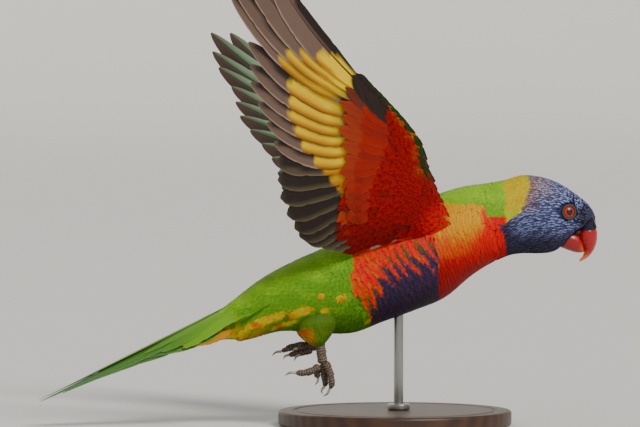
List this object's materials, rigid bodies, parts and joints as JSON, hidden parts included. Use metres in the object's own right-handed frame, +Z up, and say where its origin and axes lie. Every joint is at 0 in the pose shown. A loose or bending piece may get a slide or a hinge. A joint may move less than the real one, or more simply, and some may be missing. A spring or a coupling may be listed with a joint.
{
  "type": "rainbow lorikeet model",
  "caption": "Life-size still model of a rainbow lorikeet in flight, wings raised, long pointed tail, feet hanging, held by a rod on a round display base.",
  "frame": {"origin": "centre of the stand base's underside, on the surface that it rests on", "axes": "+X forwards towards the bill, +Y to the bird's left, +Z up"},
  "size_m": [0.2977, 0.2276, 0.2494],
  "materials": {
    "head_plumage": "streaked blue-violet feathers",
    "neck_plumage": "yellow-green collar and orange throat feathers",
    "body_plumage": "red and orange breast, blue belly, green back",
    "rump_plumage": "green feathers",
    "tail_plumage": "green tail feathers",
    "wing_plumage": "red and orange coverts, grey-brown flight feathers with a yellow band",
    "cere": "bare dark skin",
    "bill": "glossy red horn",
    "eye": "wet, red iris and black pupil",
    "foot_skin": "scaly grey-brown skin",
    "claw": "pale grey horn",
    "base_wood": "dark, satin varnish",
    "rod_steel": "satin"
  },
  "bodies": {
    "root": {"head": "head_plumage", "neck": "neck_plumage", "torso": "body_plumage", "rump": "rump_plumage", "tail": "tail_plumage", "cere": "cere", "bill_upper": "bill", "bill_lower": "bill", "eye_right": "eye", "eye_left": "eye", "wing_right": "wing_plumage", "wing_left": "wing_plumage", "thigh_right": "rump_plumage", "thigh_left": "rump_plumage", "foot_right": "foot_skin", "foot_left": "foot_skin", "claw_right_outer_front": "claw", "claw_right_inner_front": "claw", "claw_right_inner_hind": "claw", "claw_right_outer_hind": "claw", "claw_left_outer_front": "claw", "claw_left_inner_front": "claw", "claw_left_inner_hind": "claw", "claw_left_outer_hind": "claw", "stand_base": "base_wood", "stand_rod": "rod_steel"}
  },
  "joints": []
}
